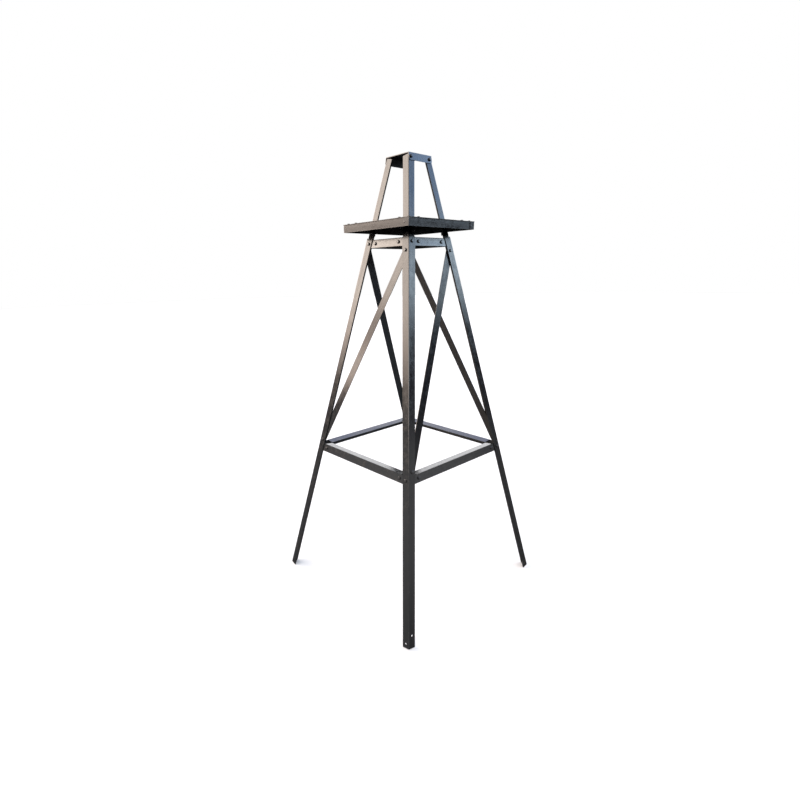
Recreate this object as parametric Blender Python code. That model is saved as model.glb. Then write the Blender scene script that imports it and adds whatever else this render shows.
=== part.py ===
"""Four-legged steel tower stand, bolted together from angle and flat bar.

Four angle legs lean in towards a small channel cap. Two rings of angle rails tie them together, one
flat brace runs across each face, and a square tray with a turned-down edge sits above the upper ring.
The tower has four equal sides, so each piece is made once, for the front leg or the front right face,
and placed four times by turning it about the tower's axis.

Metres, +Z up. The origin is on the ground at the tower's axis; the front leg points to -Y.
"""
import math

import bmesh
import bpy
from mathutils import Matrix, Vector

# ---- driving dimensions, in metres ----
HEIGHT = 1.900              # ground to the cap's top
FOOT_REACH = 0.6275         # axis to a leg's outer edge, carried down to the ground
LEAN = 0.2824               # how far that edge comes in for each metre of height
GAP = 0.0003                # clearance between touching pieces

LEG_FLANGE = 0.035
LEG_THICKNESS = 0.003
LEG_TOP = 1.603             # where the long leg ends, just above the upper ring
TOP_LEG_FLANGE = 0.031      # the short leg nests inside the long one
TOP_LEG_FOOT = 1.539
EDGE_ROUND = 0.0025         # outer corner of an angle section
INNER_FILLET = 0.003        # inner corner of an angle section

RAIL_THICKNESS = 0.0025
RAIL_OPENING = 0.003        # the level flange's free edge stands this much above square
RAIL_CLIP = 0.050           # the level flange stops this far from the leg's outer edge
LOWER_RAIL_BOTTOM = 0.6547
LOWER_RAIL_FLANGE = 0.037
LOWER_RAIL_BOLTED_END = 0.008   # from the leg's outer edge to the end under the leg bolt
LOWER_RAIL_FREE_END = 0.026     # and to the end that only the bracket holds
UPPER_RAIL_BOTTOM = 1.5646
UPPER_RAIL_FLANGE = 0.032

BRACE_WIDTH = 0.036
BRACE_THICKNESS = 0.0025
BRACE_LOW_BOLT = 0.7075
BRACE_HIGH_BOLT = 1.5478
BRACE_OVERHANG = 0.0135     # bar left beyond each end bolt, measured up the face
BRACE_EDGE_ROOM = 0.0085    # bar end kept this far from the leg's outer edge

BRACKET_THICKNESS = 0.0025
BRACKET_WING = 0.070
BRACKET_MARGIN = 0.0015     # bracket stops this far inside the rail, above and below
BRACKET_CORNER_CUT = 0.004  # bevel that clears the fillet inside a top leg

BOLT_RADIUS = 0.0031        # quarter-inch bolt
BOLT_HOLE_RADIUS = 0.0035
HEAD_ACROSS_FLATS = 0.0111
HEAD_HEIGHT = 0.0042
NUT_HEIGHT = 0.0055
THREAD_END = 0.002
LEG_BOLT_INSET = 0.0185     # from the leg's outer edge, along the face
RAIL_BOLT_INSET = 0.0575
FAR_RAIL_BOLT_INSET = 0.0600
STAKE_HOLE_RADIUS = 0.0045
STAKE_HOLE_LOW = 0.0215
STAKE_HOLE_HIGH = 0.055

CAP_THICKNESS = 0.0025
CAP_FLANGE = 0.028
CAP_HALF_LENGTH = 0.0645
CAP_CORNER = 0.009
CAP_BOLT_INSET = 0.0145
CAP_BOLT_DROP = 0.0135

TRAY_TOP = 1.6576
TRAY_DEPTH = 0.031
TRAY_HALF = 0.1910          # axis to the outside of an edge strip
SHEET = 0.002               # tray sheet thickness
TRAY_FLANGE = 0.031
CORNER_TAB = 0.025          # each edge strip laps this far round the corner
SLOT_CLEARANCE = 0.0015
CLIP_WIDTH = 0.0205
CLIP_EDGE = 0.0075          # from the clip's edge nearer the corner to its bolt
CLIP_REACH = 0.030
CLIP_THICKNESS = 0.0025
CLIP_BOTTOM = 1.608
CLIP_BOLT_HEIGHT = 1.6192
CLIP_BOLT_INSET = 0.024

# ---- shape of a leaning face, worked out from the dimensions above ----
BASE_HALF = FOOT_REACH / math.sqrt(2)            # axis to a face, at the ground
FACE_ANGLE = math.atan(LEAN / math.sqrt(2))      # a face leans in by this angle
SIN, COS = math.sin(FACE_ANGLE), math.cos(FACE_ANGLE)
EDGE_LENGTH = math.hypot(1.0, SIN)               # leg edge length for each metre up the face
LAYER = LEG_THICKNESS + GAP                      # depth that one leg flange takes
BUTT = TOP_LEG_FLANGE + LAYER + GAP              # a rail end that meets a top leg's free edge
UP = Vector((0, 0, 1))

# Rails of both rings lie one leg layer behind the face. A lower rail passes behind the leg and its
# bracket is behind both; an upper rail lies beside the top leg and its bracket is behind that leg.
LOWER_RING = {
    "bottom": LOWER_RAIL_BOTTOM,
    "flange": LOWER_RAIL_FLANGE,
    "bolted_side": 1,
    "ends": (LOWER_RAIL_BOLTED_END, LOWER_RAIL_FREE_END),
    "bracket_depth": LAYER + RAIL_THICKNESS + GAP,
    "corner_cut": 0.0,
}
UPPER_RING = {
    "bottom": UPPER_RAIL_BOTTOM,
    "flange": UPPER_RAIL_FLANGE,
    "bolted_side": -1,
    "ends": (BUTT, BUTT),
    "bracket_depth": 2 * LAYER,
    "corner_cut": BRACKET_CORNER_CUT,
}

FACES = ("front_right", "rear_right", "rear_left", "front_left")
LEGS = ("front", "right", "rear", "left")
QUARTER = math.pi / 2


class Face:
    """Local axes of one leaning face: u along it, v up it, w out of it."""

    def __init__(self, index):
        azimuth = index * QUARTER - math.pi / 4
        self.out = Vector((math.cos(azimuth), math.sin(azimuth), 0))
        self.along = UP.cross(self.out)
        self.up = COS * UP - SIN * self.out
        self.normal = COS * self.out + SIN * UP

    def point(self, u, v, w=0.0):
        return self.out * BASE_HALF + self.along * u + self.up * v + self.normal * w

    def frame(self, u, v):
        """Placement whose local X, Y and Z run along, up and out of the face."""
        turn = Matrix((self.along, self.up, self.normal)).transposed().to_4x4()
        return Matrix.Translation(self.point(u, v)) @ turn


FRONT_RIGHT = Face(0)       # the face to the right of the front leg
FRONT_LEFT = Face(3)        # the face to its left


def half_width(v):
    """Half the width of a face, from its middle to the legs' outer edges."""
    return BASE_HALF - SIN * v


def from_edge(v, inset):
    """Distance from a face's middle to a point the given inset from the leg's outer edge."""
    return half_width(v) - inset * EDGE_LENGTH


def slope(z):
    """Distance up the face for a height above the ground."""
    return z / COS


# ---- mesh helpers ----
def make_object(name, mesh, placement=None):
    obj = bpy.data.objects.new(name, mesh)
    bpy.context.scene.collection.objects.link(obj)
    if placement is not None:
        obj.matrix_world = placement
    return obj


def finish_mesh(name, bm):
    bmesh.ops.recalc_face_normals(bm, faces=bm.faces)
    many_sided = [face for face in bm.faces if len(face.verts) > 4]
    bmesh.ops.triangulate(bm, faces=many_sided)
    mesh = bpy.data.meshes.new(name)
    bm.to_mesh(mesh)
    bm.free()
    return mesh


def add_loft(bm, rings):
    """Closed solid through rings of points with equal counts."""
    rows = [[bm.verts.new(point) for point in ring] for ring in rings]
    count = len(rows[0])
    for lower, upper in zip(rows, rows[1:]):
        for i in range(count):
            j = (i + 1) % count
            bm.faces.new((lower[i], lower[j], upper[j], upper[i]))
    bm.faces.new(rows[0])
    bm.faces.new(rows[-1])


def loft(name, rings):
    bm = bmesh.new()
    add_loft(bm, rings)
    return finish_mesh(name, bm)


def circle(centre, axis_x, axis_y, radius, sides):
    points = []
    for i in range(sides):
        angle = 2 * math.pi * (i + 0.5) / sides
        points.append(centre + axis_x * radius * math.cos(angle) + axis_y * radius * math.sin(angle))
    return points


def add_hole(bm, face, u, v, radius=BOLT_HOLE_RADIUS, sides=8, depth=0.022, reach=0.004):
    """Cylinder square to a face, from just outside it to well behind it."""
    rings = [circle(face.point(u, v, w), face.along, face.up, radius, sides) for w in (reach, -depth)]
    add_loft(bm, rings)


def add_box(bm, corners_low, corners_high):
    add_loft(bm, [corners_low, corners_high])


def clip_polygon(points, normal, limit):
    """Part of a flat polygon where normal . point is at most limit."""
    kept = []
    for i, point in enumerate(points):
        after = points[(i + 1) % len(points)]
        here, there = normal.dot(point) - limit, normal.dot(after) - limit
        if here <= 0:
            kept.append(point)
        if here * there < 0:
            kept.append(point.lerp(after, here / (here - there)))
    return kept


def boolean(mesh, tool, operation):
    """Mesh after one exact Boolean with a tool mesh."""
    target_object = make_object("target", mesh)
    tool_object = make_object("tool", tool)
    modifier = target_object.modifiers.new("Boolean", "BOOLEAN")
    modifier.operation = operation
    modifier.solver = "EXACT"
    modifier.object = tool_object
    bpy.context.view_layer.update()
    depsgraph = bpy.context.evaluated_depsgraph_get()
    result = bpy.data.meshes.new_from_object(target_object.evaluated_get(depsgraph))
    bpy.data.objects.remove(target_object)
    bpy.data.objects.remove(tool_object)
    return result


def cut(mesh, tool):
    return boolean(mesh, tool, "DIFFERENCE")


def join(*meshes):
    whole = meshes[0]
    for mesh in meshes[1:]:
        whole = boolean(whole, mesh, "UNION")
    return whole


# ---- materials ----
def make_material(name, colour, roughness, metallic):
    material = bpy.data.materials.new(name)
    material.use_nodes = True
    shader = material.node_tree.nodes["Principled BSDF"]
    shader.inputs["Base Color"].default_value = (*colour, 1.0)
    shader.inputs["Roughness"].default_value = roughness
    shader.inputs["Metallic"].default_value = metallic
    return material


def place_four(names, mesh, material, parent):
    """Same piece on all four sides of the tower."""
    mesh.materials.clear()
    mesh.materials.append(material)
    for index, name in enumerate(names):
        obj = make_object(name, mesh)
        obj.rotation_euler.z = index * QUARTER
        obj.parent = parent


# ---- legs ----
def edge_point(z):
    """Point on the front leg's outer edge at a height."""
    return FRONT_RIGHT.point(-half_width(slope(z)), slope(z))


def angle_section(flange, inset):
    """Angle profile square to the front leg's edge, as offsets from a point on that edge."""
    right, left = FRONT_RIGHT, FRONT_LEFT
    to_right = (right.along - SIN * right.up).normalized()
    to_left = (-left.along - SIN * left.up).normalized()
    inward = -(right.normal + left.normal) / (1 + right.normal.dot(left.normal))
    steps = 3
    turns = [right.normal.slerp(left.normal, i / steps) for i in range(steps + 1)]
    offsets = [flange * to_right, flange * to_right - LEG_THICKNESS * right.normal]
    offsets += [(LEG_THICKNESS + INNER_FILLET) * inward + INNER_FILLET * turn for turn in turns]
    offsets += [flange * to_left - LEG_THICKNESS * left.normal, flange * to_left]
    offsets += [EDGE_ROUND * (inward + turn) for turn in reversed(turns)]
    return [inset * inward + offset for offset in offsets]


def leg_mesh(name, flange, inset, low, high):
    """Length of angle along the front leg's edge, cut square at both ends."""
    section = angle_section(flange, inset)
    rings = [[edge_point(z) + offset for offset in section] for z in (low, high)]
    return loft(name, rings)


def lowest_offset():
    return min(offset.z for offset in angle_section(LEG_FLANGE, 0.0))


# ---- bolt positions on a face ----
def ring_bolts(ring):
    """Bolts of one rail: (u, v, depth of the clamped stack). The first one goes through the leg."""
    v = slope(ring["bottom"]) + ring["flange"] / 2
    side = ring["bolted_side"]
    stack = ring["bracket_depth"] + BRACKET_THICKNESS
    through_leg = (side * from_edge(v, LEG_BOLT_INSET), v, stack)
    beside = (side * from_edge(v, RAIL_BOLT_INSET), v, stack)
    far = (-side * from_edge(v, FAR_RAIL_BOLT_INSET), v, stack)
    return through_leg, beside, far


def brace_bolts():
    low_v, high_v = slope(BRACE_LOW_BOLT), slope(BRACE_HIGH_BOLT)
    low = (-from_edge(low_v, LEG_BOLT_INSET), low_v, LAYER + BRACE_THICKNESS)
    high = (from_edge(high_v, LEG_BOLT_INSET), high_v, 2 * LAYER + BRACE_THICKNESS)
    return low, high


def cap_bolts():
    v = slope(HEIGHT) - CAP_BOLT_DROP
    u = from_edge(v, CAP_BOLT_INSET)
    return (-u, v, LAYER + LEG_THICKNESS), (u, v, LAYER + LEG_THICKNESS)


def clip_bolt():
    v = slope(CLIP_BOLT_HEIGHT)
    return -from_edge(v, CLIP_BOLT_INSET), v


def face_holes(face, cap=False):
    """Every hole that is drilled square to a face, as one cutting tool."""
    bm = bmesh.new()
    bolts = [*ring_bolts(LOWER_RING), *ring_bolts(UPPER_RING), *brace_bolts()]
    if cap:
        bolts += cap_bolts()
    for u, v, _stack in bolts:
        add_hole(bm, face, u, v)
    add_hole(bm, face, *clip_bolt())
    for side, height in ((1, STAKE_HOLE_LOW), (-1, STAKE_HOLE_HIGH)):
        v = slope(height)
        u = side * from_edge(v, LEG_BOLT_INSET)
        add_hole(bm, face, u, v, STAKE_HOLE_RADIUS, sides=16)
    return finish_mesh("face_holes", bm)


# ---- rails, braces, brackets ----
def rail_mesh(ring):
    """Angle rail on the front right face: one flange on the face, the other level, on top."""
    face = FRONT_RIGHT
    flange, v0 = ring["flange"], slope(ring["bottom"])
    middle, top = v0 + flange / 2, v0 + flange
    front = -LAYER
    back = front - RAIL_THICKNESS
    under = top - RAIL_THICKNESS
    inner = front - flange
    edge_top, edge_under = top + RAIL_OPENING, under + RAIL_OPENING
    profile = [(v0, front), (top, front), (edge_top, inner), (edge_under, inner), (under, back), (v0, back)]
    side = ring["bolted_side"]
    ends = zip((side, -side), ring["ends"])
    rings = [[face.point(end * from_edge(v, inset), v, w) for v, w in profile] for end, inset in ends]
    mesh = loft("rail", rings)
    clip = from_edge(middle, RAIL_CLIP)
    past = half_width(v0)
    bm = bmesh.new()
    for side in (-1, 1):
        corners = [(clip, back), (past, back), (past, inner - flange), (clip, inner - flange)]
        low = [face.point(side * u, v0 - flange, w) for u, w in corners]
        high = [face.point(side * u, top + flange, w) for u, w in corners]
        add_box(bm, low, high)
    return cut(mesh, finish_mesh("clip", bm))


def brace_mesh():
    """Flat bar from low on the front leg to high on the right leg, trimmed inside both legs."""
    (u1, v1, _), (u2, v2, _) = brace_bolts()
    start, end = Vector((u1, v1)), Vector((u2, v2))
    direction = (end - start).normalized()
    across = Vector((-direction.y, direction.x)) * BRACE_WIDTH / 2
    run = direction * BRACE_WIDTH
    outline = [start - run - across, end + run - across, end + run + across, start - run + across]
    room = half_width(0) / EDGE_LENGTH - BRACE_EDGE_ROOM
    for side in (-1, 1):
        outline = clip_polygon(outline, Vector((side, SIN)) / EDGE_LENGTH, room)
        limit = v2 + BRACE_OVERHANG if side > 0 else -(v1 - BRACE_OVERHANG)
        outline = clip_polygon(outline, Vector((0, side)), limit)
    length = (end - start).length

    def depth(point):
        """The bar steps back by one leg layer between its lower and its upper end."""
        share = (point - start).dot(direction) / length
        return -LAYER * (1 + share)

    rings = []
    for back in (0.0, BRACE_THICKNESS):
        rings.append([FRONT_RIGHT.point(p.x, p.y, depth(p) - back) for p in outline])
    return loft("brace", rings)


def corner_point(z, from_right, from_left):
    """Point at a height, given its depths behind the faces right and left of the front leg."""
    reach = BASE_HALF - math.tan(FACE_ANGLE) * z
    right = FRONT_RIGHT.out * (reach - from_right / COS)
    left = FRONT_LEFT.out * (reach - from_left / COS)
    return right + left + UP * z


def corner_angle(near, far, thickness, low, high, corner_cut=0.0):
    """Bent strip that follows the inside of the front corner, its bend bevelled if asked."""
    back = near + thickness
    profile = [(near, far), (back, far)]
    if corner_cut:
        start = near + corner_cut
        inner_start = start + thickness * (math.sqrt(2) - 1)
        profile += [(back, inner_start), (inner_start, back)]
        profile += [(far, back), (far, near), (start, near), (near, start)]
    else:
        profile += [(back, back), (far, back), (far, near), (near, near)]
    return [[corner_point(z, a, b) for a, b in profile] for z in (low, high)]


def bracket_mesh(ring):
    """Bent plate inside the front corner that ties two rails together."""
    near = ring["bracket_depth"]
    low = ring["bottom"] + BRACKET_MARGIN
    dip = SIN * (near + BRACKET_THICKNESS)
    high = ring["bottom"] + (ring["flange"] - RAIL_THICKNESS) * COS - dip - BRACKET_MARGIN
    return loft("bracket", corner_angle(near, BRACKET_WING, BRACKET_THICKNESS, low, high, ring["corner_cut"]))


# ---- cap ----
def cap_mesh():
    """Channel over the leg tops, its two flanges lying on the front right and rear left faces."""
    face = FRONT_RIGHT
    outside = -GAP - LEG_THICKNESS + CAP_THICKNESS
    top_v = slope(HEIGHT)

    def profile(side):
        rim = face.point(0, top_v, outside).dot(face.out)
        low = face.point(0, top_v - CAP_FLANGE, outside)
        inner_low = face.point(0, top_v - CAP_FLANGE, outside - CAP_THICKNESS)
        inner_high = face.point(0, top_v - CAP_THICKNESS, outside - CAP_THICKNESS)
        outer = [(rim, HEIGHT), (low.dot(face.out), low.z)]
        inner = [(inner_low.dot(face.out), low.z), (inner_high.dot(face.out), HEIGHT - CAP_THICKNESS)]
        points = outer + inner
        return [(side * x, z) for x, z in points]

    near, far = profile(1), profile(-1)
    outline = near + far[::-1]
    rings = []
    for u in (-CAP_HALF_LENGTH, CAP_HALF_LENGTH):
        rings.append([face.out * x + face.along * u + UP * z for x, z in outline])
    bm = bmesh.new()
    add_loft(bm, rings)
    bmesh.ops.recalc_face_normals(bm, faces=bm.faces)
    foot = near[1][1]
    corners = []
    for edge in bm.edges:
        a, b = (vert.co for vert in edge.verts)
        level = abs(a.z - foot) < GAP and abs(b.z - foot) < GAP
        if level and abs((a - b).dot(face.along)) < GAP:
            corners.append(edge)
    bmesh.ops.bevel(bm, geom=corners, offset=CAP_CORNER, segments=4, affect="EDGES", profile=0.5)
    return finish_mesh("cap", bm)


# ---- tray ----
def slab(corners, low, high):
    """Level plate with the given outline, as (distance out, distance along) of the front right side."""
    face = FRONT_RIGHT
    rings = [[face.out * x + face.along * u + UP * z for x, u in corners] for z in (low, high)]
    return loft("slab", rings)


def tray_edge_mesh():
    """Edge strip of the tray: lip, top flange mitred at both ends, and a tab round its left corner."""
    top = TRAY_TOP - SHEET - GAP
    low = TRAY_TOP - TRAY_DEPTH
    inside = TRAY_HALF - SHEET
    tab_out = TRAY_HALF + GAP + SHEET
    right_end = inside - GAP
    lip = slab([(inside, -tab_out), (TRAY_HALF, -tab_out), (TRAY_HALF, right_end), (inside, right_end)],
               low, top)
    back = TRAY_HALF - CORNER_TAB
    tab = slab([(back, -tab_out), (TRAY_HALF, -tab_out), (TRAY_HALF, -TRAY_HALF - GAP),
                (back, -TRAY_HALF - GAP)], low, top)
    rim = TRAY_HALF - TRAY_FLANGE
    flange_left = [(rim, -rim + GAP), (inside - GAP, -inside + 2 * GAP), (TRAY_HALF, -inside + 2 * GAP)]
    flange_right = [(TRAY_HALF, right_end), (right_end, right_end - GAP), (rim, rim - GAP)]
    flange = slab(flange_left + flange_right, top - SHEET, top)
    return join(lip, tab, flange)


def deck_mesh():
    """Square plate on the edge strips, with an angle slot for each leg."""
    edge = TRAY_HALF + GAP + SHEET
    plate = slab([(edge, -edge), (edge, edge), (-edge, edge), (-edge, -edge)], TRAY_TOP - SHEET, TRAY_TOP)
    near = LAYER - SLOT_CLEARANCE
    thickness = LEG_THICKNESS + 2 * SLOT_CLEARANCE
    far = LAYER + TOP_LEG_FLANGE * EDGE_LENGTH + SLOT_CLEARANCE
    rings = corner_angle(near, far, thickness, TRAY_TOP - 2 * SHEET, TRAY_TOP + SHEET)
    bm = bmesh.new()
    for index in range(4):
        turn = Matrix.Rotation(index * QUARTER, 3, "Z")
        add_loft(bm, [[turn @ point for point in ring] for ring in rings])
    return cut(plate, finish_mesh("slots", bm))


def clip_mesh():
    """Small angle that hangs the deck from the front leg's right flange."""
    face = FRONT_RIGHT
    bolt_u, _v = clip_bolt()
    depth = 2 * LAYER
    deck_under = TRAY_TOP - SHEET - GAP

    def out_at(z, w):
        return BASE_HALF - math.tan(FACE_ANGLE) * z + w / COS

    front, back = -depth, -depth - CLIP_THICKNESS
    shelf = deck_under - CLIP_THICKNESS
    inner = out_at(deck_under, front) - CLIP_REACH
    profile = [(out_at(CLIP_BOTTOM, front), CLIP_BOTTOM), (out_at(deck_under, front), deck_under)]
    profile += [(inner, deck_under), (inner, shelf), (out_at(shelf, back), shelf)]
    profile.append((out_at(CLIP_BOTTOM, back), CLIP_BOTTOM))
    start = bolt_u - CLIP_EDGE
    rings = []
    for u in (start, start + CLIP_WIDTH):
        rings.append([face.out * x + face.along * u + UP * z for x, z in profile])
    return loft("clip", rings)


# ---- bolts ----
def bolt_mesh(name, stack):
    """Hexagon bolt with its nut run up, for a stack of plates of the given depth below local Z = 0."""
    head_corner = HEAD_ACROSS_FLATS / math.sqrt(3)
    nut_face = -stack - GAP
    levels = [(HEAD_HEIGHT + GAP, head_corner), (GAP, head_corner), (GAP, BOLT_RADIUS)]
    levels += [(nut_face, BOLT_RADIUS), (nut_face, head_corner), (nut_face - NUT_HEIGHT, head_corner)]
    levels += [(nut_face - NUT_HEIGHT, BOLT_RADIUS), (nut_face - NUT_HEIGHT - THREAD_END, BOLT_RADIUS)]
    x_axis, y_axis = Vector((1, 0, 0)), Vector((0, 1, 0))
    rings = [circle(Vector((0, 0, z)), x_axis, y_axis, radius, 6) for z, radius in levels]
    return loft(name, rings)


def place_bolt(name, mesh, material, face, u, v, parent):
    if not mesh.materials:
        mesh.materials.append(material)
    obj = make_object(name, mesh, face.frame(u, v))
    obj.parent = parent


def build_bolts(material, parent):
    groups = {
        "lower_rail_bolt": ring_bolts(LOWER_RING)[0],
        "upper_rail_bolt": ring_bolts(UPPER_RING)[0],
        "lower_brace_bolt": brace_bolts()[0],
        "upper_brace_bolt": brace_bolts()[1],
    }
    for group, (u, v, stack) in groups.items():
        mesh = bolt_mesh(group, stack)
        for index, side in enumerate(FACES):
            place_bolt(f"{group}_{side}", mesh, material, Face(index), u, v, parent)
    for end, (u, v, stack) in zip(("left", "right"), cap_bolts()):
        mesh = bolt_mesh("cap_bolt", stack)
        for index in (0, 2):
            place_bolt(f"cap_bolt_{FACES[index]}_{end}", mesh, material, Face(index), u, v, parent)


def build_tower():
    for obj in list(bpy.data.objects):
        bpy.data.objects.remove(obj)
    tower = bpy.data.objects.new("tower_stand", None)
    bpy.context.scene.collection.objects.link(tower)

    frame_coat = make_material("frame_coat", (0.050, 0.048, 0.047), 0.42, 0.35)
    tray_coat = make_material("tray_coat", (0.055, 0.052, 0.050), 0.45, 0.35)
    fastener = make_material("fastener", (0.060, 0.058, 0.058), 0.35, 0.8)

    holes = face_holes(FRONT_RIGHT)
    left_holes = face_holes(FRONT_LEFT)
    cap_side_holes = face_holes(FRONT_RIGHT, cap=True)
    cap_side_left_holes = face_holes(FRONT_LEFT, cap=True)

    foot = -lowest_offset()
    leg = leg_mesh("leg", LEG_FLANGE, 0.0, foot, LEG_TOP)
    leg = cut(cut(leg, holes), left_holes)
    place_four([f"leg_{side}" for side in LEGS], leg, frame_coat, tower)

    # The cap is bolted on two faces only, so its holes alternate between a top leg's two flanges.
    top_end = HEIGHT - CAP_THICKNESS - 2 * GAP
    top_leg = leg_mesh("top_leg", TOP_LEG_FLANGE, LAYER, TOP_LEG_FOOT, top_end)
    for first, tools in enumerate(((cap_side_holes, left_holes), (holes, cap_side_left_holes))):
        drilled = cut(cut(top_leg, tools[0]), tools[1])
        drilled.materials.append(frame_coat)
        for index in (first, first + 2):
            obj = make_object(f"top_leg_{LEGS[index]}", drilled)
            obj.rotation_euler.z = index * QUARTER
            obj.parent = tower

    place_four([f"brace_{side}" for side in FACES], cut(brace_mesh(), holes), frame_coat, tower)
    for height, ring in (("lower", LOWER_RING), ("upper", UPPER_RING)):
        rail = cut(rail_mesh(ring), holes)
        place_four([f"{height}_rail_{side}" for side in FACES], rail, frame_coat, tower)
        bracket = cut(cut(bracket_mesh(ring), holes), left_holes)
        place_four([f"{height}_bracket_{side}" for side in LEGS], bracket, frame_coat, tower)

    place_four([f"tray_edge_{side}" for side in FACES], tray_edge_mesh(), tray_coat, tower)
    place_four([f"tray_clip_{side}" for side in LEGS], cut(clip_mesh(), holes), tray_coat, tower)
    deck = deck_mesh()
    deck.materials.clear()
    deck.materials.append(tray_coat)
    make_object("tray_deck", deck).parent = tower

    turn_over = Matrix.Rotation(math.pi, 4, "Z")
    far_side_holes = cap_side_holes.copy()
    far_side_holes.transform(turn_over)
    cap = cut(cut(cap_mesh(), cap_side_holes), far_side_holes)
    cap.materials.clear()
    cap.materials.append(tray_coat)
    make_object("top_cap", cap).parent = tower

    build_bolts(fastener, tower)


build_tower()
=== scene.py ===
"""Visual model of the bolted four-legged tower stand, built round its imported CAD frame.

The angle legs, rails, braces and sheet pieces are the CAD nodes, with rounded edges and a painted
finish. The plain CAD bolts give way to hexagon bolts with chamfers, washers and threads, and the
fasteners that the CAD leaves out are added: bracket, clip and tray bolts and lap rivets.
"""
import math

import bmesh
import bpy
from mathutils import Euler, Matrix, Vector


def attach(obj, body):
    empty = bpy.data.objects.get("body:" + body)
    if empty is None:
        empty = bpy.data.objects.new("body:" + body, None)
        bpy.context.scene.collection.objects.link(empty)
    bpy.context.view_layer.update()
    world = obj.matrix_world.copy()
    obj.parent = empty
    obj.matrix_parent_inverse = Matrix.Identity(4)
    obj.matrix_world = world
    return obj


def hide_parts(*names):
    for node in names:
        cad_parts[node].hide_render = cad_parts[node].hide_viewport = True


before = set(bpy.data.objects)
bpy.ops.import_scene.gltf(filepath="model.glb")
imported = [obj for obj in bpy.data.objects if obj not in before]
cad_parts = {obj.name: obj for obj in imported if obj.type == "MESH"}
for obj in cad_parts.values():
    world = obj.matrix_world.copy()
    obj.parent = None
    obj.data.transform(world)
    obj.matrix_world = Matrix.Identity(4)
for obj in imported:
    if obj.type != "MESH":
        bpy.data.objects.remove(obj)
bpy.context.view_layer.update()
scene = bpy.context.scene

# ---- the tower's own dimensions, as the CAD has them, in metres ----
HEIGHT = 1.900
FOOT_REACH = 0.6275
LEAN = 0.2824
BASE_HALF = FOOT_REACH / math.sqrt(2)
FACE_ANGLE = math.atan(LEAN / math.sqrt(2))
SIN, COS = math.sin(FACE_ANGLE), math.cos(FACE_ANGLE)
LEG_TILT = math.atan(LEAN)
EDGE_LENGTH = math.hypot(1.0, SIN)
GAP = 0.0003
PLATE = 0.0025
LEG_THICKNESS = 0.003
LAYER = LEG_THICKNESS + GAP
LOWER_BRACKET_DEPTH, UPPER_BRACKET_DEPTH = LAYER + PLATE + GAP, 2 * LAYER
LOWER_RING = {"bottom": 0.6547, "flange": 0.037, "bolted_side": 1, "bracket_depth": LOWER_BRACKET_DEPTH}
UPPER_RING = {"bottom": 1.5646, "flange": 0.032, "bolted_side": -1, "bracket_depth": UPPER_BRACKET_DEPTH}
LEG_BOLT_INSET = 0.0185
RAIL_BOLT_INSET, FAR_RAIL_BOLT_INSET = 0.0575, 0.0600
BRACE_LOW_BOLT, BRACE_HIGH_BOLT = 0.7075, 1.5478
CAP_BOLT_INSET, CAP_BOLT_DROP = 0.0145, 0.0135
CLIP_BOLT_HEIGHT, CLIP_BOLT_INSET = 1.6192, 0.024
TRAY_TOP, TRAY_HALF, TRAY_DEPTH, SHEET = 1.6576, 0.1910, 0.031, 0.002
BOLT_RADIUS = 0.0031
HEAD_ACROSS_FLATS, HEAD_HEIGHT, NUT_HEIGHT = 0.0111, 0.0042, 0.0055

# ---- sizes that only the visual model has, in metres ----
WASHER, WASHER_RIM, WASHER_REACH = 0.0008, 0.0003, 0.60
CHAMFER_SLOPE = math.tan(math.radians(28))
THREAD_PITCH, THREAD_TIP, THREAD_TAIL, SHORT_TAIL = 0.00127, 0.0004, 0.0045, 0.003
SEAT_LIFT = 0.0001
TRAY_BOLT = {"washer": 0.0006, "across": 0.0100, "head": 0.0032, "tail": 0.002}
TRAY_BOLT_INSET, CORNER_BOLT_INSET = 0.0145, 0.0155
TRAY_BOLT_STEP, CORNER_BOLT_STEP = 0.065, 0.0160
RIVET_RADIUS, RIVET_HEIGHT, RIVET_STEP, RIVET_DROP = 0.0032, 0.0009, 0.0235, 0.55
LEG_ROUNDING, TRAY_EDGE_ROUNDING, CAP_ROUNDING = 0.0005, 0.0005, 0.0006
PLATE_ROUNDING, BRACKET_ROUNDING = 0.0004, 0.0003
FLOOR_DROP = 0.0004
FLOOR_RADII = (0.6, 2.0, 6.0, 14.0, 30.0)

FACES = ("front_right", "rear_right", "rear_left", "front_left")
LEGS = ("front", "right", "rear", "left")
QUARTER = math.pi / 2
UP = Vector((0, 0, 1))
HEXAGON_SIXTH = math.pi / 3


class Face:
    """Local axes of one leaning face: u along it, v up it, w out of it."""

    def __init__(self, index):
        azimuth = index * QUARTER - math.pi / 4
        self.out = Vector((math.cos(azimuth), math.sin(azimuth), 0))
        self.along = UP.cross(self.out)
        self.up = COS * UP - SIN * self.out
        self.normal = COS * self.out + SIN * UP

    def frame(self, u, v, w=0.0):
        """Placement whose local X, Y and Z run along, up and out of the face."""
        turn = Matrix((self.along, self.up, self.normal)).transposed().to_4x4()
        point = self.out * BASE_HALF + self.along * u + self.up * v + self.normal * w
        return Matrix.Translation(point) @ turn


def from_edge(v, inset):
    """Half the face's width at a height v up it, less an inset measured square to the leaning edge."""
    return BASE_HALF - SIN * v - inset * EDGE_LENGTH


def slope(z):
    """Distance up a leaning face for a height above the ground."""
    return z / COS


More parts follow.
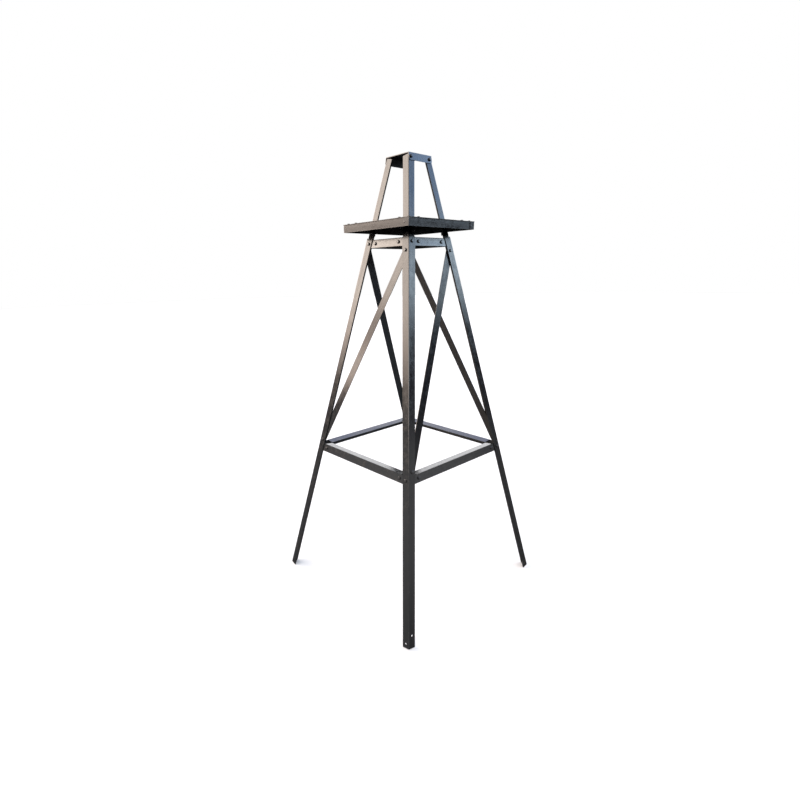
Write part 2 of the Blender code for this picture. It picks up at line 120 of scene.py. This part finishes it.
# ---- materials ----
# A coat's base, its lighter clouds and the dust in its blotches.
FRAME_COLOURS = ((0.0025, 0.0026, 0.0030), (0.0038, 0.0037, 0.0040), (0.0074, 0.0070, 0.0068))
TRAY_COLOURS = ((0.0042, 0.0042, 0.0046), (0.0064, 0.0061, 0.0063), (0.0110, 0.0102, 0.0098))
# Lighter coat colour along the legs' outer edges: a painted highlight line.
RIDGE_HIGHLIGHT = (0.014, 0.014, 0.015)
STEEL_COLOURS = ((0.005, 0.005, 0.006), (0.016, 0.015, 0.015))
FLOOR_COLOURS = ((0.45, 0.45, 0.45), (0.48, 0.48, 0.48))
FRONT_LEG_GLOSS, LEG_GLOSS, RAIL_GLOSS, TRAY_GLOSS, CAP_GLOSS = 0.52, 0.43, 0.68, 0.5, 0.68
BRACE_GLOSS = {"front_right": 0.24, "rear_right": 0.46, "rear_left": 0.46, "front_left": 0.46}
COAT_MATT, TRAY_MATT, INNER_MATT = 0.13, 0.26, 0.5
GRAIN_STRETCH = (1.0, 1.0, 30.0)


class Nodes:
    """Short calls for building the node tree of a material or of the world."""

    def __init__(self, owner):
        owner.use_nodes = True
        self.owner = owner
        self.tree = owner.node_tree
        self.shader = self.tree.nodes.get("Principled BSDF")
        self.place = self.node("ShaderNodeTexCoord").outputs["Object"]

    def node(self, kind, **settings):
        made = self.tree.nodes.new(kind)
        for name, value in settings.items():
            setattr(made, name, value)
        return made

    def feed(self, value, socket):
        if isinstance(value, bpy.types.NodeSocket):
            self.tree.links.new(value, socket)
        else:
            socket.default_value = value

    def ramp(self, factor, stops):
        """Colours set at positions from 0 to 1, blended between them."""
        made = self.node("ShaderNodeValToRGB")
        self.feed(factor, made.inputs["Fac"])
        elements = made.color_ramp.elements
        while len(elements) < len(stops):
            elements.new(0.5)
        for element, (position, colour) in zip(elements, stops):
            element.position = position
            element.color = (*colour, 1.0)
        return made.outputs["Color"]

    def stretched(self, rotation, scale):
        """The place on the object, turned and stretched so that a pattern runs along one axis."""
        mapping = self.node("ShaderNodeMapping", vector_type="TEXTURE")
        self.feed(self.place, mapping.inputs["Vector"])
        mapping.inputs["Rotation"].default_value = rotation
        mapping.inputs["Scale"].default_value = scale
        return mapping.outputs["Vector"]

    def noise(self, vector, scale, detail=2.0, roughness=0.5, distortion=0.0):
        made = self.node("ShaderNodeTexNoise")
        self.feed(vector, made.inputs["Vector"])
        made.inputs["Scale"].default_value = scale
        made.inputs["Detail"].default_value = detail
        made.inputs["Roughness"].default_value = roughness
        made.inputs["Distortion"].default_value = distortion
        return made.outputs["Fac"]

    def span(self, value, low, high, to_low, to_high, blend="SMOOTHSTEP"):
        """A value between low and high, brought to between to_low and to_high."""
        made = self.node("ShaderNodeMapRange", interpolation_type=blend)
        self.feed(value, made.inputs["Value"])
        made.inputs["From Min"].default_value = low
        made.inputs["From Max"].default_value = high
        made.inputs["To Min"].default_value = to_low
        made.inputs["To Max"].default_value = to_high
        return made.outputs["Result"]

    def math(self, operation, a, b=0.0):
        made = self.node("ShaderNodeMath", operation=operation)
        self.feed(a, made.inputs[0])
        self.feed(b, made.inputs[1])
        return made.outputs["Value"]

    def dot(self, axis):
        """The place on the object, measured along an axis."""
        made = self.node("ShaderNodeVectorMath", operation="DOT_PRODUCT")
        self.feed(self.place, made.inputs[0])
        made.inputs[1].default_value = axis
        return made.outputs["Value"]

    def mix(self, factor, a, b):
        made = self.node("ShaderNodeMix", data_type="RGBA")
        self.feed(factor, made.inputs["Factor"])
        for socket, value in ((made.inputs[6], a), (made.inputs[7], b)):
            self.feed(value if isinstance(value, bpy.types.NodeSocket) else (*value, 1.0), socket)
        return made.outputs[2]

    def bump(self, height, strength, distance, below=None):
        made = self.node("ShaderNodeBump")
        self.feed(height, made.inputs["Height"])
        made.inputs["Strength"].default_value = strength
        made.inputs["Distance"].default_value = distance
        if below is not None:
            self.feed(below, made.inputs["Normal"])
        return made.outputs["Normal"]


def ridge_highlight(n, index, reach, speckle):
    """Share of coat painted lighter along a leg's outer edge as a painted highlight line, the edge found
    from the leg's own line.
    """
    turn = Matrix.Rotation(index * QUARTER, 3, "Z")
    across = n.dot(turn @ Vector((1, 0, 0)))
    behind = n.math("ADD", n.dot(turn @ Vector((0, 1, 0)) - LEAN * UP), reach)
    squares = n.math("ADD", n.math("MULTIPLY", across, across), n.math("MULTIPLY", behind, behind))
    distance = n.math("SQRT", squares)
    near = n.span(distance, 0.0012, 0.0034, 1.0, 0.0)
    patchy = n.span(speckle, 0.35, 0.55, 0.35, 1.0)
    return n.math("MULTIPLY", near, patchy)


def inner_side(n):
    """Share of the surface that faces the tower's axis, where little of the coat's last pass reached."""
    outward = n.node("ShaderNodeVectorMath", operation="MULTIPLY")
    n.feed(n.place, outward.inputs[0])
    outward.inputs[1].default_value = (1.0, 1.0, 0.0)
    unit = n.node("ShaderNodeVectorMath", operation="NORMALIZE")
    n.feed(outward.outputs["Vector"], unit.inputs[0])
    facing = n.node("ShaderNodeVectorMath", operation="DOT_PRODUCT")
    n.feed(unit.outputs["Vector"], facing.inputs[0])
    n.feed(n.node("ShaderNodeNewGeometry").outputs["Normal"], facing.inputs[1])
    return n.span(facing.outputs["Value"], -0.55, -0.35, 1.0, 0.0)


def coat_material(name, rotation, colours, gloss, matt=COAT_MATT, ridge=None, bow=None):
    """Dark semi-gloss coat on rolled steel: cloudy and blotched, with faint lines and orange peel.

    A bow bends the reflections along the member, as a slightly wavy bar does: its period up the
    tower in metres, its phase in radians and its depth in metres.
    """
    n = Nodes(bpy.data.materials.new(name))
    base, tint, dust = colours
    long_grain = n.stretched(rotation, GRAIN_STRETCH)
    cloud = n.noise(n.place, 9.0, detail=4.0, roughness=0.6)
    blotch = n.noise(n.place, 48.0, detail=5.0, roughness=0.65)
    lines = n.noise(long_grain, 300.0, detail=2.0, roughness=0.5)
    rolled = n.noise(long_grain, 60.0, detail=2.0, roughness=0.5)
    peel = n.noise(n.place, 620.0, detail=2.0, roughness=0.55)
    speck = n.noise(n.place, 1900.0, detail=1.0)
    tone = n.mix(n.span(cloud, 0.35, 0.68, 0.0, 1.0), base, tint)
    tone = n.mix(n.span(blotch, 0.50, 0.72, 0.0, 0.7), tone, dust)
    # With a ridge, a painted highlight: the coat is painted lighter along the leg's outer edge.
    if ridge is not None:
        tone = n.mix(ridge_highlight(n, *ridge, blotch), tone, RIDGE_HIGHLIGHT)
    n.feed(tone, n.shader.inputs["Base Color"])
    rough = n.span(cloud, 0.3, 0.7, matt, matt + 0.08)
    rough = n.math("ADD", rough, n.span(blotch, 0.38, 0.66, -0.02, 0.08))
    rough = n.math("ADD", rough, n.span(lines, 0.35, 0.65, -0.015, 0.02))
    rough = n.math("ADD", rough, n.math("MULTIPLY", inner_side(n), INNER_MATT))
    n.feed(rough, n.shader.inputs["Roughness"])
    n.shader.inputs["Metallic"].default_value = 0.0
    n.shader.inputs["Specular IOR Level"].default_value = gloss
    waves = n.bump(rolled, 0.16, 0.0016)
    if bow is not None:
        period, phase, depth = bow
        turns = n.math("ADD", n.math("MULTIPLY", n.dot(UP), 2 * math.pi / period), phase)
        waves = n.bump(n.math("SINE", turns), 1.0, depth, waves)
    skin = n.bump(n.math("ADD", peel, n.math("MULTIPLY", speck, 0.25)), 0.20, 0.0003, waves)
    n.feed(skin, n.shader.inputs["Normal"])
    return n.owner


def fastener_material():
    n = Nodes(bpy.data.materials.new("blackened_steel"))
    cloud = n.noise(n.place, 130.0, detail=3.0)
    fine = n.noise(n.place, 2200.0, detail=2.0)
    tone = n.mix(n.span(cloud, 0.35, 0.65, 0.0, 1.0), *STEEL_COLOURS)
    n.feed(tone, n.shader.inputs["Base Color"])
    n.feed(n.span(cloud, 0.3, 0.7, 0.17, 0.28), n.shader.inputs["Roughness"])
    n.shader.inputs["Metallic"].default_value = 0.0
    n.shader.inputs["Specular IOR Level"].default_value = 0.55
    n.feed(n.bump(fine, 0.12, 0.0002), n.shader.inputs["Normal"])
    return n.owner


def floor_material():
    n = Nodes(bpy.data.materials.new("studio_floor"))
    mottling = n.noise(n.place, 1.6, detail=3.0)
    tone = n.mix(mottling, *FLOOR_COLOURS)
    n.feed(tone, n.shader.inputs["Base Color"])
    n.shader.inputs["Roughness"].default_value = 0.85
    n.shader.inputs["Specular IOR Level"].default_value = 0.1
    return n.owner


def leg_coat(index, name, inset=0.0):
    """Grain along a leg, which leans in towards the axis, and a painted highlight along its outer edge.
    """
    turn = Matrix.Rotation(index * QUARTER, 3, "Z") @ Matrix.Rotation(-LEG_TILT, 3, "X")
    ridge = (index, FOOT_REACH - inset)
    gloss = LEG_GLOSS if index else FRONT_LEG_GLOSS
    return coat_material(f"{name}_{LEGS[index]}", turn.to_euler(), FRAME_COLOURS, gloss, ridge=ridge)


def level_coat(index, name, colours, gloss, matt=COAT_MATT):
    """Grain along a level member of a face."""
    turn = Matrix.Rotation(index * QUARTER - math.pi / 4, 3, "Z") @ Matrix.Rotation(QUARTER, 3, "X")
    return coat_material(f"{name}_{FACES[index]}", turn.to_euler(), colours, gloss, matt)


def brace_coat(index):
    """Grain along a leaning brace; the front left one looks plainly bowed, the others hardly."""
    face = Face(index)
    low, high = brace_bolt_points()
    along = (face.along * (high[0] - low[0]) + face.up * (high[1] - low[1])).normalized()
    turn = along.to_track_quat("Z", "X").to_euler()
    side = FACES[index]
    bow = (0.50, 2.64, 0.0045) if side == "front_left" else (0.60, 2.0 * index, 0.0008)
    return coat_material(f"brace_coat_{side}", turn, FRAME_COLOURS, BRACE_GLOSS[side], bow=bow)


# ---- bolt places ----
def ring_bolt_points(ring_sizes):
    """Bolts of one rail: (u, v, outer plate's face, depth of the clamped stack)."""
    v = slope(ring_sizes["bottom"]) + ring_sizes["flange"] / 2
    side = ring_sizes["bolted_side"]
    stack = ring_sizes["bracket_depth"] + PLATE
    return (
        (side * from_edge(v, LEG_BOLT_INSET), v, 0.0, stack),
        (side * from_edge(v, RAIL_BOLT_INSET), v, -LAYER, stack - LAYER),
        (-side * from_edge(v, FAR_RAIL_BOLT_INSET), v, -LAYER, stack - LAYER),
    )


def brace_bolt_points():
    low_v, high_v = slope(BRACE_LOW_BOLT), slope(BRACE_HIGH_BOLT)
    low = (-from_edge(low_v, LEG_BOLT_INSET), low_v, 0.0, LAYER + PLATE)
    high = (from_edge(high_v, LEG_BOLT_INSET), high_v, 0.0, 2 * LAYER + PLATE)
    return low, high


# ---- fasteners ----
def ring(bm, radius, z, sides):
    """Level ring of points; the radius is a number, or a function of the angle."""
    points = []
    for i in range(sides):
        angle = 2 * math.pi * i / sides
        r = radius(angle) if callable(radius) else radius
        points.append(bm.verts.new((r * math.cos(angle), r * math.sin(angle), z)))
    return points


def skin_rings(bm, rings, cap_ends=True):
    """Faces between rings of equal count, and over the first and the last."""
    for lower, upper in zip(rings, rings[1:]):
        count = len(lower)
        for i in range(count):
            j = (i + 1) % count
            bm.faces.new((lower[i], lower[j], upper[j], upper[i]))
    if cap_ends:
        bm.faces.new(rings[0][::-1])
        bm.faces.new(rings[-1])


def add_hexagon(bm, across_flats, low, high, chamfer_low, chamfer_high):
    """Hexagon block whose corners are cut back by a cone at either end, as on a turned bolt head."""
    sides = 48
    flat = across_flats / 2
    corner = flat / math.cos(HEXAGON_SIXTH / 2)

    def hexagon(angle):
        turned = (angle + HEXAGON_SIXTH / 2) % HEXAGON_SIXTH - HEXAGON_SIXTH / 2
        return flat / math.cos(turned)

    def limited(rim):
        return lambda angle: min(hexagon(angle), rim)

    rims = (corner, (corner + 2 * flat) / 3, flat, flat * 0.93)
    levels = []
    if chamfer_low:
        levels += [(rim, low + (rim - rims[-1]) * CHAMFER_SLOPE) for rim in reversed(rims)]
    else:
        levels.append((corner, low))
    if chamfer_high:
        levels += [(rim, high - (rim - rims[-1]) * CHAMFER_SLOPE) for rim in rims]
    else:
        levels.append((corner, high))
    skin_rings(bm, [ring(bm, limited(rim), z, sides) for rim, z in levels])


def add_washer(bm, radius, low, high):
    inner = radius - WASHER_RIM
    levels = [(inner, low), (radius, low + WASHER_RIM), (radius, high - WASHER_RIM), (inner, high)]
    skin_rings(bm, [ring(bm, r, z, 32) for r, z in levels])


def add_thread(bm, radius, low, high):
    """Threaded shank end: ridges of one pitch, with a chamfered tip at its low end."""
    depth = 0.488 * THREAD_PITCH
    z = low + THREAD_TIP
    levels = [(radius - depth * 1.6, low), (radius - depth, z)]
    while z + THREAD_PITCH < high:
        levels += [(radius, z + THREAD_PITCH * 0.5), (radius - depth, z + THREAD_PITCH)]
        z += THREAD_PITCH
    levels.append((radius - depth, high))
    skin_rings(bm, [ring(bm, r, level, 24) for r, level in levels])


def bolt_mesh(name, stack, washer=WASHER, across=HEAD_ACROSS_FLATS, head=HEAD_HEIGHT, tail=THREAD_TAIL):
    """Bolt whose outer plate's face is at Z = 0, with its nut behind a stack of plates."""
    bm = bmesh.new()
    seat = SEAT_LIFT + washer
    add_washer(bm, across * WASHER_REACH, SEAT_LIFT, seat)
    add_hexagon(bm, across, seat, seat + head, False, True)
    back = -stack - GAP
    add_hexagon(bm, across, back - NUT_HEIGHT, back, True, True)
    add_thread(bm, BOLT_RADIUS, back - NUT_HEIGHT - tail, back - NUT_HEIGHT * 0.5)
    return finish_piece(name, bm)


def rivet_mesh(name, radius, height, behind):
    """Low domed rivet head on Z = 0, with its closing head behind."""
    bm = bmesh.new()
    steps = 7
    outer = (SEAT_LIFT, 1, radius, height)
    closing = (-behind - SEAT_LIFT, -1, radius * 0.85, height * 0.9)
    for base, way, r, h in (outer, closing):
        rings = []
        for i in range(steps):
            angle = QUARTER * i / steps
            rings.append(ring(bm, r * math.cos(angle), base + way * h * math.sin(angle), 24))
        skin_rings(bm, rings)
    return finish_piece(name, bm)


def finish_piece(name, bm):
    """Mesh made of a piece's faces, smooth but for its sharp edges."""
    bmesh.ops.recalc_face_normals(bm, faces=bm.faces)
    mesh = bpy.data.meshes.new(name)
    bm.to_mesh(mesh)
    bm.free()
    mesh.shade_smooth()
    mesh.set_sharp_from_angle(angle=math.radians(24))
    return mesh


def place(name, mesh, placement, turn=0.0, replaces=()):
    """A new piece on the body root, in place of the CAD nodes that it replaces."""
    obj = bpy.data.objects.new(name, mesh)
    scene.collection.objects.link(obj)
    obj.matrix_world = placement @ Matrix.Rotation(turn, 4, "Z")
    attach(obj, "root")
    if replaces:
        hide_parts(*replaces)
    return obj


def uneven(*numbers):
    """Repeatable number from 0 to 1, for small differences between like pieces."""
    total = sum((i + 1) * 12.9898 * number for i, number in enumerate(numbers))
    return math.sin(total) * 43758.5453 % 1.0


def hexagon_turn(*numbers):
    """Turn of a tightened head: about 30 degrees, a little different on each bolt."""
    return HEXAGON_SIXTH * (0.5 + 0.35 * (uneven(*numbers) - 0.5))


def build_bolts(steel):
    """Bolts of the rails, braces, cap and tray clips; like ones share a mesh."""
    meshes = {}

    def mesh_for(kind, stack, **sizes):
        if kind not in meshes:
            meshes[kind] = bolt_mesh(kind, stack, **sizes)
            meshes[kind].materials.append(steel)
        return meshes[kind]

    rings = (("lower", ring_bolt_points(LOWER_RING)), ("upper", ring_bolt_points(UPPER_RING)))
    low, high = brace_bolt_points()
    for index, side in enumerate(FACES):
        face = Face(index)
        for which, (level, points) in enumerate(rings):
            for number, (u, v, w, stack) in enumerate(points):
                turn = hexagon_turn(index, which, number)
                mesh = mesh_for(f"{level}_{'leg' if number == 0 else 'rail'}_bolt", stack)
                if number == 0:
                    node = f"{level}_rail_bolt_{side}"
                    place(f"{node}_fine", mesh, face.frame(u, v, w), turn, (node,))
                else:
                    name = f"{level}_bracket_bolt_{side}_{'near' if number == 1 else 'far'}"
                    place(name, mesh, face.frame(u, v, w), turn)
        for level, (u, v, w, stack) in (("lower", low), ("upper", high)):
            node = f"{level}_brace_bolt_{side}"
            turn = hexagon_turn(index, u)
            mesh = mesh_for(f"{level}_brace_bolt", stack)
            place(f"{node}_fine", mesh, face.frame(u, v, w), turn, (node,))
    v = slope(HEIGHT) - CAP_BOLT_DROP
    u = from_edge(v, CAP_BOLT_INSET)
    for index in (0, 2):
        for end, way in (("left", -1), ("right", 1)):
            node = f"cap_bolt_{FACES[index]}_{end}"
            turn = hexagon_turn(index, way)
            mesh = mesh_for("cap_bolt", LAYER + LEG_THICKNESS)
            place(f"{node}_fine", mesh, Face(index).frame(way * u, v), turn, (node,))
    v = slope(CLIP_BOLT_HEIGHT)
    for index in range(4):
        mesh = mesh_for("clip_bolt", LEG_THICKNESS + PLATE, tail=SHORT_TAIL)
        placement = Face(index).frame(-from_edge(v, CLIP_BOLT_INSET), v, -LAYER)
        place(f"clip_bolt_{LEGS[index]}", mesh, placement, 0.3 * index)


def build_tray_fasteners(steel):
    """Three bolts along each side of the deck and a rivet through each corner lap."""
    deck_bolt = bolt_mesh("tray_bolt", 2 * SHEET + GAP, **TRAY_BOLT)
    rivet = rivet_mesh("lap_rivet", RIVET_RADIUS, RIVET_HEIGHT, 2 * SHEET + GAP)
    for mesh in (deck_bolt, rivet):
        mesh.materials.append(steel)
    edge = TRAY_HALF + SHEET
    corner = (CORNER_BOLT_INSET, CORNER_BOLT_STEP - edge)
    near, far = (TRAY_BOLT_INSET, TRAY_BOLT_STEP - edge), (TRAY_BOLT_INSET, edge - TRAY_BOLT_STEP)
    for index, side in enumerate(FACES):
        face = Face(index)
        for number, (inset, along) in enumerate((corner, near, far)):
            at = face.out * (edge - inset) + face.along * along + UP * TRAY_TOP
            place(f"tray_bolt_{side}_{number}", deck_bolt, Matrix.Translation(at),
                  2.0 * uneven(index, number, 5))
        turn = Matrix((face.along, UP, face.out)).transposed().to_4x4()
        at = face.out * (edge + GAP) + face.along * (edge - RIVET_STEP)
        at += UP * (TRAY_TOP - TRAY_DEPTH * RIVET_DROP)
        place(f"lap_rivet_{side}", rivet, Matrix.Translation(at) @ turn)


# ---- the CAD nodes' finish ----
def round_edges(obj, width, segments=2):
    bevel = obj.modifiers.new("rounded_edges", "BEVEL")
    bevel.width = width
    bevel.segments = segments
    bevel.limit_method = "ANGLE"
    bevel.angle_limit = math.radians(35)
    bevel.use_clamp_overlap = True
    bevel.harden_normals = True


def dress(node, material, width):
    """Gives a CAD node its material and rounded edges."""
    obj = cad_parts[node]
    for slot in obj.material_slots:
        slot.link = "OBJECT"
        slot.material = material
    round_edges(obj, width)


def finish_nodes():
    for index, (leg, side) in enumerate(zip(LEGS, FACES)):
        dress(f"leg_{leg}", leg_coat(index, "leg_coat"), LEG_ROUNDING)
        dress(f"top_leg_{leg}", leg_coat(index, "top_leg_coat", LAYER * math.sqrt(2)), LEG_ROUNDING)
        level = level_coat(index, "rail_coat", FRAME_COLOURS, RAIL_GLOSS)
        for height in ("lower", "upper"):
            dress(f"{height}_rail_{side}", level, PLATE_ROUNDING)
            dress(f"{height}_bracket_{leg}", level, BRACKET_ROUNDING)
        dress(f"brace_{side}", brace_coat(index), PLATE_ROUNDING)
        tray = level_coat(index, "tray_coat", TRAY_COLOURS, TRAY_GLOSS, TRAY_MATT)
        dress(f"tray_edge_{side}", tray, TRAY_EDGE_ROUNDING)
        dress(f"tray_clip_{leg}", tray, BRACKET_ROUNDING)
        if index == 0:
            dress("tray_deck", tray, PLATE_ROUNDING)
            dress("top_cap", level_coat(index, "cap_coat", TRAY_COLOURS, CAP_GLOSS), CAP_ROUNDING)


# ---- studio ----
def build_floor():
    """Pale floor just under the feet, which the coat neither mirrors nor takes light from."""
    bm = bmesh.new()
    rings = [ring(bm, radius, -FLOOR_DROP, 64) for radius in FLOOR_RADII]
    bm.faces.new(rings[0])
    skin_rings(bm, rings, cap_ends=False)
    floor = bpy.data.objects.new("studio_floor", finish_piece("studio_floor", bm))
    scene.collection.objects.link(floor)
    floor.data.materials.append(floor_material())
    floor.visible_glossy = False
    floor.visible_diffuse = False


# Each side of the studio: height in degrees above the horizon, brightness there and colour.
WARM_LOW, WARM = (1.0, 0.79, 0.67), (1.0, 0.86, 0.75)
COOL, COOL_HIGH = (0.70, 0.86, 1.0), (0.42, 0.63, 1.0)
NEUTRAL, SKY, DUSK = (1.0, 1.0, 1.02), (0.66, 0.72, 1.0), (0.85, 0.80, 1.0)
OVERHEAD = (55, 2.2, NEUTRAL)
LEFT_FRONT = (
    (-35, 0.04, NEUTRAL), (-26, 0.45, NEUTRAL), (-10, 0.95, NEUTRAL), (0, 0.5, NEUTRAL), (3, 1.7, WARM),
    (7, 6.4, WARM_LOW), (12, 8.8, WARM), (15, 7.4, WARM), (22, 9.2, WARM), (28, 6.6, WARM), OVERHEAD,
)
LEFT_REAR = (
    (-35, 0.02, NEUTRAL), (-24, 0.03, NEUTRAL), (-10, 0.25, NEUTRAL), (0, 0.35, WARM_LOW),
    (4.5, 1.4, WARM_LOW), (6.5, 11.5, WARM_LOW), (11, 13.5, WARM), (22, 13.2, WARM), (28, 10.0, WARM),
    OVERHEAD,
)
RIGHT_FRONT = (
    (-35, 0.04, NEUTRAL), (-26, 0.25, NEUTRAL), (-18, 0.7, NEUTRAL), (-5, 0.95, NEUTRAL), (0, 0.2, DUSK),
    (9, 0.1, DUSK), (12, 4.4, COOL), (15, 8.4, COOL), (18, 2.9, COOL), (21, 2.4, COOL_HIGH),
    (26, 1.4, COOL_HIGH), OVERHEAD,
)
RIGHT_REAR = (
    (-35, 0.01, NEUTRAL), (-20, 0.02, NEUTRAL), (-5, 0.2, NEUTRAL), (0, 0.05, DUSK), (8, 0.1, DUSK),
    (12, 6.3, COOL), (15, 9.6, COOL), (18, 5.2, COOL), (21, 6.0, COOL_HIGH), (26, 4.8, COOL_HIGH),
    OVERHEAD,
)
BACK_SIDE = (
    (-35, 0.02, NEUTRAL), (-3, 0.15, NEUTRAL), (1, 2.4, NEUTRAL), (12, 2.4, NEUTRAL), (17, 3.0, NEUTRAL),
    (22, 2.4, NEUTRAL), (27, 1.5, SKY), (42, 1.5, SKY), (65, 2.2, NEUTRAL),
)
FRONT_SIDE = (
    (-35, 0.02, NEUTRAL), (-12, 0.2, NEUTRAL), (4, 0.3, NEUTRAL), (12, 2.2, NEUTRAL),
    (22, 4.2, NEUTRAL), (32, 3.2, NEUTRAL), OVERHEAD,
)
BRIGHTEST = 14.0
# Where one side of the studio turns into the next, on a level direction's own X or Y.
REAR_HALF, BACK_BLEND, SIDE_BLEND = (0.08, 0.13), (0.50, 0.80), (0.60, 0.88)


def side_colour(n, height, stops):
    """Colour of one side by height, as a share of the brightest light."""
    scaled = []
    for angle, radiance, colour in stops:
        position = (math.sin(math.radians(angle)) + 1) / 2
        scaled.append((position, [channel * radiance / BRIGHTEST for channel in colour]))
    return n.ramp(height, scaled)


def build_world():
    """Soft light from all round, warm from the left and cool from the right, before a white backdrop."""
    n = Nodes(bpy.data.worlds.new("studio"))
    scene.world = n.owner
    direction = n.node("ShaderNodeTexCoord").outputs["Generated"]
    split = n.node("ShaderNodeSeparateXYZ")
    n.feed(direction, split.inputs[0])
    x, y, z = split.outputs
    level = n.math("SQRT", n.math("SUBTRACT", 1.0001, n.math("MULTIPLY", z, z)))
    sideways = n.math("DIVIDE", x, level)
    onward = n.math("DIVIDE", y, level)
    height = n.span(z, -1.0, 1.0, 0.0, 1.0, "LINEAR")
    rearward = n.span(onward, *REAR_HALF, 0.0, 1.0)
    left = n.mix(rearward, side_colour(n, height, LEFT_FRONT), side_colour(n, height, LEFT_REAR))
    right = n.mix(rearward, side_colour(n, height, RIGHT_FRONT), side_colour(n, height, RIGHT_REAR))
    front, back = side_colour(n, height, FRONT_SIDE), side_colour(n, height, BACK_SIDE)
    light = n.mix(n.span(onward, *BACK_BLEND, 0.0, 1.0), front, back)
    leftward = n.math("MULTIPLY", sideways, -1.0)
    light = n.mix(n.span(leftward, *SIDE_BLEND, 0.0, 1.0), light, left)
    light = n.mix(n.span(sideways, *SIDE_BLEND, 0.0, 1.0), light, right)
    background = n.tree.nodes["Background"]
    n.feed(light, background.inputs["Color"])
    background.inputs["Strength"].default_value = BRIGHTEST
    backdrop = n.node("ShaderNodeBackground")
    backdrop.inputs["Color"].default_value = (1.0, 1.0, 1.0, 1.0)
    seen = n.node("ShaderNodeMixShader")
    n.feed(n.node("ShaderNodeLightPath").outputs["Is Camera Ray"], seen.inputs[0])
    n.feed(background.outputs[0], seen.inputs[1])
    n.feed(backdrop.outputs[0], seen.inputs[2])
    n.feed(seen.outputs[0], n.tree.nodes["World Output"].inputs["Surface"])


EYE = (-0.01765, -2.18242, 1.46816)
EYE_TILT, EYE_ROLL, EYE_PAN = 70.3707, 1.1448, 3.0313


def build_camera():
    """Wide view from close in front of the front leg, three quarters of the way up, looking down."""
    camera = bpy.data.cameras.new("camera")
    camera.sensor_width = 36.0
    camera.lens = 21.435
    camera.shift_x = 0.0282
    camera.shift_y = 0.0525
    camera.clip_end = 100.0
    eye = bpy.data.objects.new("camera", camera)
    scene.collection.objects.link(eye)
    turn = Euler([math.radians(angle) for angle in (EYE_TILT, EYE_ROLL, EYE_PAN)])
    eye.matrix_world = Matrix.Translation(EYE) @ turn.to_matrix().to_4x4()
    scene.camera = eye


scene.view_settings.view_transform = "Standard"
build_camera()
build_floor()
build_world()
finish_nodes()
steel = fastener_material()
build_bolts(steel)
build_tray_fasteners(steel)
